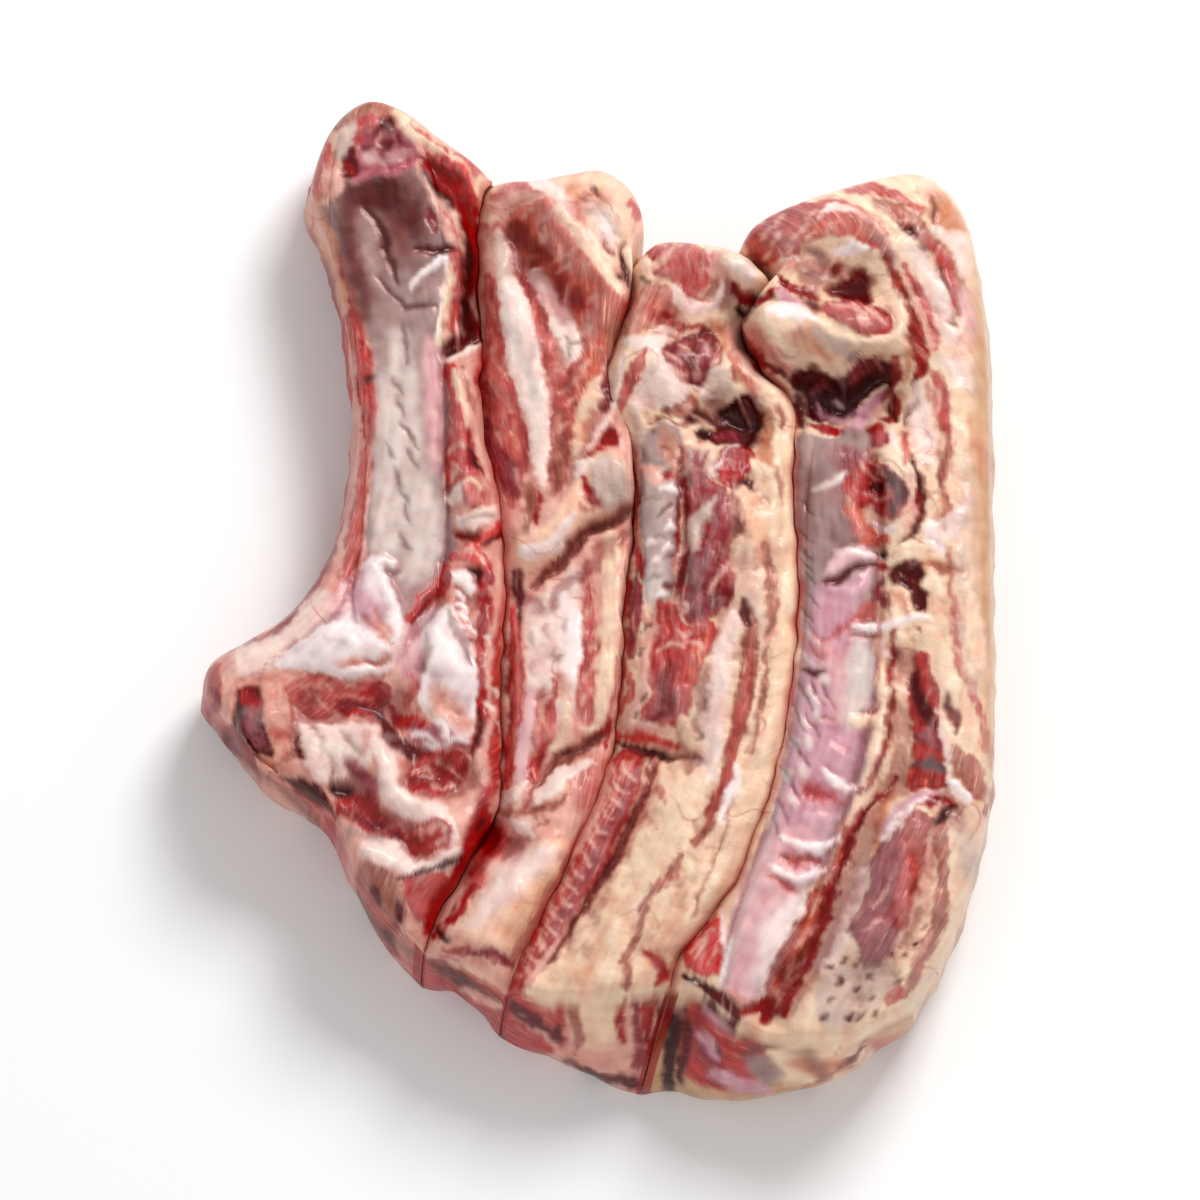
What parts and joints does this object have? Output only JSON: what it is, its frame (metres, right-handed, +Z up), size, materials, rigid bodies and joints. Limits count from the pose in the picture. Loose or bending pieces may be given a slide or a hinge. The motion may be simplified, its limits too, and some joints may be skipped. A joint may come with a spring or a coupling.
{
  "type": "raw pork ribs",
  "caption": "Raw pork rib rack sliced between the bones, the slices lying side by side on a flat underside, with chine bone, bare rib faces, fat and lean layers and a rind edge.",
  "frame": {"origin": "on the board under the middle of the rack: centre of the underside of the bounding box", "axes": "+Z up, +Y from the chine ends to the rib tips (the longest side), +X across the slices from the chine bone to the rind"},
  "size_m": [0.1818, 0.2324, 0.045],
  "materials": {
    "flesh": "wet raw pork: red lean, cream fat and a tan rind, softly glossy",
    "bone": "raw rib bone under a damp grey-pink membrane, red marrow where it is sawn"
  },
  "bodies": {
    "root": {"chine_rib_cut": "flesh", "second_rib_cut": "flesh", "third_rib_cut": "flesh", "rind_rib_cut": "flesh", "chine_rib_bone": "bone", "chine_bone": "bone", "third_rib_bone": "bone", "rind_rib_bone": "bone"}
  },
  "joints": []
}
